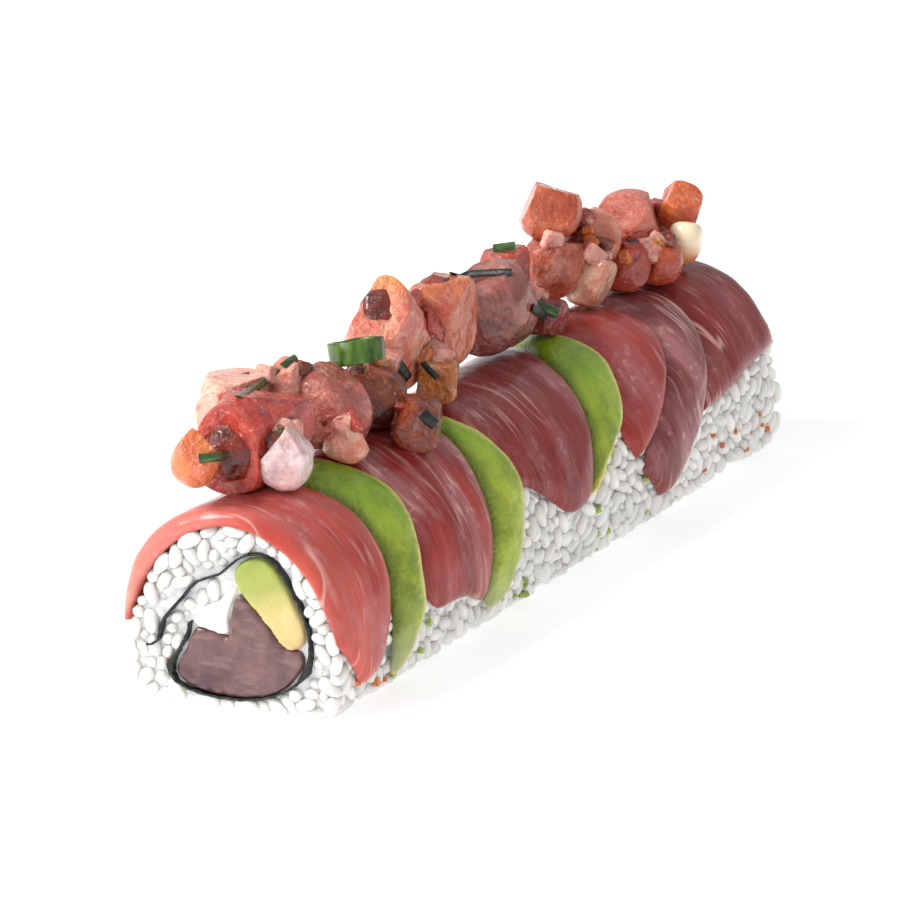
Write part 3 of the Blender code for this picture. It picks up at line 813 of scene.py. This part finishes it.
DICE = {  # node: deep, light, patch, share of patch, glow
    "fish_dice_red": (DEEP_RED, RED, SALMON, 0.35, 0.35),
    "fish_dice_pink": (linear(226, 158, 138), PINK, CREAM, 0.35, 0.6),
    "fish_dice_rose": (linear(158, 78, 68), ROSE, PINK, 0.45, 0.4),
    "fish_dice_end": (ORANGE, SALMON, GOLD, 0.5, 0.5),
    "fish_dice_tip": (ROSE, PINK, ORANGE, 0.5, 0.5),
    "jelly_dice": (linear(206, 170, 172), linear(236, 216, 214), PINK, 0.4, 0.6),
    "jelly_bead": (SALMON, PINK, CREAM, 0.5, 0.6),
    "glazed_dice_brown": (DARK, BROWN, ORANGE, 0.25, 0.25),
    "glazed_dice_amber": (linear(96, 28, 8), linear(134, 52, 18), ORANGE, 0.2, 0.25),
    "glazed_dice_gold": (BROWN, GOLD, CREAM, 0.35, 0.3),
    "glazed_dice_dark": (linear(70, 24, 12), BROWN, ORANGE, 0.3, 0.25),
    "fish_lump_large": (linear(198, 100, 84), linear(226, 138, 112), CREAM, 0.35, 0.5),
    "fish_lump_tall": (linear(190, 88, 64), linear(214, 122, 90), GOLD, 0.35, 0.45),
    "fish_dice_mauve": (linear(116, 54, 50), linear(158, 94, 84), SALMON, 0.3, 0.35),
    "fish_dice_crimson": (DEEP_RED, linear(186, 74, 44), DARK, 0.4, 0.35),
    # Painted shade: this lump takes the red lumps' colours darkened, with a near-black patch, for the shade it
    # lies in.
    "fish_dice_shadow": (linear(92, 34, 30), DEEP_RED, DARK, 0.5, 0.3),
    "fish_crumb_left": (linear(170, 70, 42), linear(200, 106, 70), RED, 0.4, 0.45),
    "fish_crumb_base": (linear(160, 64, 38), linear(190, 98, 70), PINK, 0.35, 0.45),
    "fish_crumb_round": (linear(190, 110, 88), linear(222, 172, 146), CREAM, 0.4, 0.5),
    "fish_crumb_upper": (linear(182, 92, 66), linear(206, 130, 104), PINK, 0.35, 0.5),
    "fish_crumb_far": (linear(170, 80, 60), SALMON, RED, 0.3, 0.45),
    "fish_crumb_low": (DEEP_RED, linear(176, 76, 54), RED, 0.4, 0.4),
    "fish_lump_back": (linear(180, 88, 70), linear(212, 124, 104), RED, 0.3, 0.5),
    "fish_crumb_right": (linear(170, 60, 34), linear(200, 92, 48), DEEP_RED, 0.4, 0.4),
    "fish_crumb_orange": (linear(190, 76, 36), linear(218, 116, 62), RED, 0.4, 0.5),
    "fish_crumb_last": (DEEP_RED, RED, SALMON, 0.3, 0.4),
}
TIPS = {"fish_lump_large": linear(226, 150, 76), "fish_lump_tall": linear(222, 132, 70)}
DICE_GROW = 1.5 * MM
DICE_SINK = 0.45 * MM
SAUCE_AND_SHADE_INSET = 1.4 * MM


def cut_flat(points, rng):
    """Slices three pairs of flat sides and two corners off a lump, as the knife leaves diced fish."""
    middle = (points.min(0) + points.max(0)) / 2
    sides = np.linalg.qr(rng.normal(size=(3, 3)))[0]
    ways = [way for row in sides for way in (row, -row)] + list(rng.normal(size=(2, 3)))
    for way in ways:
        way = way / np.linalg.norm(way)
        if way[2] < -0.35:
            continue  # what it rests on is left whole
        reach = (points - middle) @ way
        limit = reach.max() * rng.uniform(0.68, 0.82)
        points = points - way * (reach - limit).clip(0)[:, None]
    return points


def build_die(node, finish, rng):
    """One lump: larger so that it meets its neighbours, with flat cut sides and a moist skin."""
    piece = copy_of(node, node.replace("_", " "), finish)
    apply(piece, "SUBSURF", levels=1, render_levels=1)
    apply(piece, "REMESH", mode="VOXEL", voxel_size=0.4 * MM, use_smooth_shade=True)
    mesh = piece.data
    points, normals = points_of(mesh), normals_of(mesh)
    rough = uneven(points, 230, len(node)) * 0.5 + uneven(points, 560, len(node) + 5) * 0.3
    points = cut_flat(points + normals * DICE_GROW, rng) + normals * (rough * 0.6 * MM)[:, None]
    points[:, 2] -= DICE_SINK
    move_points(mesh, points)
    slots = {"glazed": "glazed_fish", "jelly": "jelly"}
    return settled(piece, slots.get(node.split("_")[0], "diced_fish"), node)


def build_dice():
    rng = np.random.default_rng(7)
    pieces = []
    for node, (deep, light, patch, share, glow) in DICE.items():
        tip = (TIPS[node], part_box(node)[1][2]) if node in TIPS else None
        roughness = 0.12 if node.startswith("glazed") else 0.18
        finish = dice_finish(
            node.replace("_", " "), deep, light, patch, share, glow, roughness, tip
        )
        pieces.append(build_die(node, finish, rng))
    return pieces


def build_sauce_and_shade():
    """The dark glaze that has run into the creases between the lumps, and painted shade there: its dark colour
    also stands for the shade in those creases.
    """
    # Painted shade: this dark red-brown fills the creases under and between the lumps, partly as glaze and
    # partly as their shade.
    finish = dice_finish("sauce", linear(74, 20, 10), linear(136, 44, 24), RED, 0.4, 0.25, 0.1)
    pieces = [copy_of(node, f"sauce {i}", finish) for i, node in enumerate(DICE)]
    only(pieces[0])
    for piece in pieces:
        piece.select_set(True)
    bpy.ops.object.join()
    sauce = pieces[0]
    apply(sauce, "REMESH", mode="VOXEL", voxel_size=0.7 * MM, use_smooth_shade=True)
    apply(sauce, "SMOOTH", factor=0.6, iterations=9)
    points = points_of(sauce.data)
    points -= normals_of(sauce.data) * SAUCE_AND_SHADE_INSET
    points[:, 2] -= DICE_SINK
    move_points(sauce.data, points)
    settled(sauce, "glazed_fish")


# ---- small bits and herbs ----

FACING = Vector((0.48, -0.80, 0.36)).normalized()  # the way the seen side of the heaps looks
ACROSS = Vector((0.86, 0.51, 0.0))
DOWN = Vector((0, 0, -1))
CREASE_REACH = 3 * MM
FLECKS_A_SLICE = 9


def tree_over(pieces):
    points, faces = [], []
    for piece in pieces:
        start = len(points)
        points += [v.co.copy() for v in piece.data.vertices]
        faces += [[start + i for i in p.vertices] for p in piece.data.polygons]
    return BVHTree.FromPolygons(points, faces)


def creases(rng, tree, nodes, count):
    """Places in the hollows between lumps and round the foot of the heaps."""
    spots = []
    while len(spots) < count:
        low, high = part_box(nodes[rng.integers(len(nodes))])
        x, y = rng.uniform(low[:2], high[:2]) + rng.uniform(-1.5, 1.5, 2) * MM
        around = [
            tree.ray_cast(Vector((x + a * CREASE_REACH, y + b * CREASE_REACH, 0.09)), DOWN)[0]
            for a, b in ((0, 0), (1, 0), (-1, 0), (0, 1), (0, -1))
        ]
        if None not in around and sum(p.z for p in around[1:]) / 4 - around[0].z > 0.5 * MM:
            spots.append(around[0])
    return np.array(spots)


def bit_forms(rng, sizes):
    """Small cut bits with softened edges, each of another size."""
    forms = []
    for size in sizes:
        bpy.ops.mesh.primitive_cube_add(size=1)
        cube = bpy.context.object
        apply(cube, "BEVEL", width=0.2, segments=3)
        points = points_of(cube.data) * rng.uniform(0.65, 1.35, 3) * size
        points += rng.normal(0, 0.04, points.shape) * size
        forms.append((points, [tuple(p.vertices) for p in cube.data.polygons]))
        bpy.data.objects.remove(cube)
    return forms


def build_bits(tree):
    """Crumbs of fish, roe and leaf fallen between the lumps."""
    kinds = (  # name, slot, deep, light, count, sizes in millimetres
        ("red crumbs", "diced_fish", DEEP_RED, RED, 70, (2.2, 3.0, 4.0)),
        ("orange crumbs", "diced_fish", linear(196, 84, 30), linear(226, 132, 56), 45, (1.6, 2.4, 3.2)),
        ("pale crumbs", "diced_fish", ROSE, PINK, 60, (2.0, 2.8, 3.8)),
        ("dark crumbs", "glazed_fish", linear(70, 24, 12), BROWN, 50, (1.8, 2.6, 3.4)),
        ("leaf crumbs", "spring_onion", linear(40, 66, 14), linear(92, 124, 34), 30, (0.9, 1.3, 1.8)),
    )
    nodes = list(DICE)
    for i, (name, slot, deep, light, count, sizes) in enumerate(kinds):
        rng = np.random.default_rng(60 + i)
        spots = creases(rng, tree, nodes, count)
        ways = rng.normal(size=spots.shape)
        ways /= np.linalg.norm(ways, axis=1)[:, None]
        forms = bit_forms(rng, [size * MM for size in sizes])
        mesh = grain_mesh(name, spots, turned(ways, rng), forms, rng)
        if slot == "spring_onion":
            finish = herb_finish(name, deep, light)
        else:
            finish = dice_finish(name, deep, light, PINK, 0.2, 0.4, 0.14)
        settled(add_piece(name, mesh, finish), slot)


def laid(tree, marks, lift):
    """A path over the seen side of the heaps, through marks (lump, share across, share up)."""
    aims = []
    for node, across, up in marks:
        low, high = (Vector(corner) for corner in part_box(node))
        half = (high - low) / 2
        aim = (low + high) / 2 + ACROSS * (across * (half.x + half.y) / 2)
        aims.append(np.array(aim + Vector((0, 0, up * half.z))))
    steps = np.linspace(0, len(aims) - 1, 5 * (len(aims) - 1) + 1)
    flat = np.array([[np.interp(s, range(len(aims)), part) for part in zip(*aims)] for s in steps])
    path, outs = [], []
    for spot in flat:
        place, normal, _, _ = tree.ray_cast(Vector(spot) + FACING * 0.05, -FACING)
        place, normal = (place, normal) if place else (Vector(spot), FACING)
        path.append(place + normal * lift)
        outs.append((normal + FACING).normalized())
    path, outs = np.array(path), np.array(outs)
    for _ in range(2):
        path[1:-1] = (path[:-2] + 2 * path[1:-1] + path[2:]) / 4
    return path, outs


def build_strip(name, finish, slot, tree, marks, width, thickness):
    """A leaf strip or a cut stalk laid over the lumps."""
    path, outs = laid(tree, marks, thickness * 0.7)
    ways = np.gradient(path, axis=0)
    sides = np.cross(ways, outs)
    sides /= np.linalg.norm(sides, axis=1)[:, None]
    turns = np.linspace(0, 2 * math.pi, 10, endpoint=False)
    rows = [
        spot + np.outer(np.cos(turns), side) * width / 2 + np.outer(np.sin(turns), out) * thickness / 2
        for spot, side, out in zip(path, sides, outs)
    ]
    count = len(turns)
    faces = [
        (r * count + i, r * count + (i + 1) % count, (r + 1) * count + (i + 1) % count, (r + 1) * count + i)
        for r in range(len(rows) - 1) for i in range(count)
    ]
    faces += [tuple(range(count))[::-1], tuple(range((len(rows) - 1) * count, len(rows) * count))]
    mesh = bpy.data.meshes.new(name)
    mesh.from_pydata(np.concatenate(rows).tolist(), [], faces)
    piece = add_piece(name, mesh, finish)
    only(piece)
    bpy.ops.object.mode_set(mode="EDIT")
    bpy.ops.mesh.select_all(action="SELECT")
    bpy.ops.mesh.normals_make_consistent(inside=False)
    bpy.ops.object.mode_set(mode="OBJECT")
    bpy.ops.object.shade_smooth_by_angle(angle=math.radians(60))
    settled(piece, slot)


CHIVES = {  # where each strip is laid, its width and its thickness in millimetres
    "chive over the red cube": (
        (("fish_dice_red", -0.2, 0.8), ("fish_dice_tip", -0.5, 0.4)), 1.7, 0.8),
    "chive on the tip": ((("fish_dice_tip", -0.2, 0.5), ("fish_dice_tip", 0.4, 1.0)), 1.6, 0.8),
    "chive at the end": (
        (("fish_dice_end", 0.3, -0.2), ("fish_dice_red", -0.3, -0.5)), 2.0, 1.6),
    "chive on the crimson cube": (
        (("fish_dice_crimson", -0.4, 0.7), ("fish_dice_crimson", 0.5, 0.8)), 2.4, 0.9),
    "chive in the shade": (
        (("fish_dice_shadow", -0.2, 0.3), ("fish_dice_shadow", 0.6, -0.2)), 2.2, 1.0),
}
LEAVES = {
    "leaf on the large lump": (
        (("fish_lump_large", 0.2, -0.5), ("fish_lump_large", 0.5, -0.8)), 2.2, 0.7),
    "leaf on the amber cube": (
        (("glazed_dice_amber", 0.2, 0.2), ("glazed_dice_amber", 0.7, -0.2)), 2.4, 0.8),
    "leaf on the gold cube": (
        (("glazed_dice_gold", -0.6, 0.5), ("glazed_dice_gold", 0.0, -0.2)), 1.3, 0.6),
    "leaf along the top": (
        (("fish_lump_tall", 0.4, 0.8), ("fish_dice_mauve", -0.4, 0.8), ("fish_dice_mauve", 0.5, 0.8)),
        1.8, 0.8),
    "leaf in the shade": ((("fish_dice_shadow", -0.6, 0.0), ("fish_dice_shadow", 0.1, -0.5)), 2.0, 0.7),
}


def build_herbs(tree):
    green = herb_finish("chive", linear(34, 58, 20), linear(66, 98, 34))
    for name, (marks, width, thickness) in CHIVES.items():
        build_strip(name, green, "spring_onion", tree, marks, width * MM, thickness * MM)
    dark = nori_finish("dark leaf")
    for name, (marks, width, thickness) in LEAVES.items():
        build_strip(name, dark, "nori", tree, marks, width * MM, thickness * MM)


def build_smears():
    """Flecks of avocado and orange roe stuck to the rice below the slices."""
    tree = tree_of(("rice",))
    for name, slot, deep, light, seed, nodes in (
        ("avocado flecks", "avocado", linear(150, 168, 70), linear(188, 200, 112), 81, AVOCADO),
        ("orange flecks", "diced_fish", linear(206, 96, 40), linear(228, 140, 70), 82, TUNA[:1] + TUNA[-1:]),
    ):
        rng = np.random.default_rng(seed)
        spots = []
        for node in nodes:
            low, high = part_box(node)
            found = []
            while len(found) < FLECKS_A_SLICE:
                y, z = rng.uniform(low[1], high[1]), rng.uniform(2, 15) * MM
                place = tree.ray_cast(Vector((50 * MM, y, z)), Vector((-1, 0, 0)))[0]
                if place:
                    found.append(place)
            spots += found
        ways = rng.normal(size=(len(spots), 3)) * (0.3, 1, 1)
        ways /= np.linalg.norm(ways, axis=1)[:, None]
        forms = bit_forms(rng, (0.7 * MM, 1.0 * MM, 1.4 * MM))
        mesh = grain_mesh(name, np.array(spots), turned(ways, rng), forms, rng)
        settled(add_piece(name, mesh, herb_finish(name, deep, light)), slot)


def build_nut():
    finish = wet("nut", 0.25, 0.4, coat=0.5)
    height = finish.axis("Z")
    low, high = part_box("nut")
    body = finish.mix(linear(206, 130, 72), linear(244, 226, 194), height.band(low[2] + 0.002, low[2] + 0.006))
    finish.colour(body)
    finish.bump(finish.noise(500, 3), 0.2 * MM, 0.4)
    piece = copy_of("nut", "nut", finish.material)
    apply(piece, "SUBSURF", levels=3, render_levels=3)
    points = points_of(piece.data)
    points[:, 2] -= DICE_SINK
    move_points(piece.data, points)
    settled(piece, "nut", "nut")


def build_ring():
    made = wet("spring onion", 0.22, 0.25, coat=0.5, reach=(0.5, 1.0, 0.2))
    streaks = made.noise(1.0, 3, place=made.scaled(500, 500, 120))
    body = made.mix(linear(34, 64, 10), linear(88, 122, 34), streaks.band(0.4, 0.68))
    made.colour(body)
    made.bump(streaks, 0.3 * MM, 0.6)
    piece = copy_of("spring_onion_ring", "spring onion ring", made.material)
    apply(piece, "BEVEL", width=0.2 * MM, segments=2)
    apply(piece, "SUBSURF", levels=2, render_levels=2)
    points = points_of(piece.data)
    points += normals_of(piece.data) * (uneven(points, 240, 2.0) * 0.35 * MM)[:, None]
    points[:, 2] -= DICE_SINK
    move_points(piece.data, points)
    settled(piece, "spring_onion", "spring_onion_ring")


# ---- light, floor and camera ----


def build_stage():
    bpy.ops.mesh.primitive_plane_add(size=6, location=(0, 0, 0))
    floor = bpy.context.object
    floor.name = "floor"
    finish = Finish("white floor", 0.9)
    finish.colour((0.93, 0.93, 0.94))
    finish.set("Specular IOR Level", 0.1)
    finish.set("Emission Color", (0.98, 0.985, 1.0, 1))
    finish.set("Emission Strength", 0.42)
    floor.data.materials.append(finish.material)
    world = bpy.data.worlds.new("studio")
    bpy.context.scene.world = world
    world.use_nodes = True
    world.node_tree.nodes["Background"].inputs[0].default_value = (0.97, 0.98, 1.0, 1)
    world.node_tree.nodes["Background"].inputs[1].default_value = 0.64


def add_light(name, place, size, power, colour=(1, 1, 1)):
    light = bpy.data.lights.new(name, "AREA")
    light.shape = "DISK"
    light.size = size
    light.energy = power
    light.color = colour
    thing = bpy.data.objects.new(name, light)
    bpy.context.scene.collection.objects.link(thing)
    thing.location = place
    thing.rotation_euler = (CAMERA_TARGET - Vector(place)).to_track_quat("-Z", "Y").to_euler()
    return thing


def build_camera():
    camera = bpy.data.cameras.new("camera")
    camera.lens = LENS
    camera.sensor_width = 36
    camera.clip_start = 0.01
    camera.dof.use_dof = False
    thing = bpy.data.objects.new("camera", camera)
    bpy.context.scene.collection.objects.link(thing)
    back = Vector((
        math.sin(CAMERA_TURN) * math.cos(CAMERA_RISE),
        -math.cos(CAMERA_TURN) * math.cos(CAMERA_RISE),
        math.sin(CAMERA_RISE),
    ))
    thing.location = CAMERA_TARGET + back * CAMERA_DISTANCE
    thing.rotation_euler = back.to_track_quat("Z", "Y").to_euler()
    bpy.context.scene.camera = thing


build_rice()
build_fillings()
build_slices()
heap = build_dice()
build_sauce_and_shade()
heap_tree = tree_over(heap)
build_bits(heap_tree)
build_herbs(heap_tree)
build_smears()
build_nut()
build_ring()
build_stage()
add_light("key", (-0.46, -0.42, 0.68), 0.35, 7.6, (1.0, 0.98, 0.95))
add_light("front fill", (-0.30, -0.80, 0.35), 0.5, 2.2)
build_camera()
bpy.context.scene.view_settings.view_transform = "Standard"
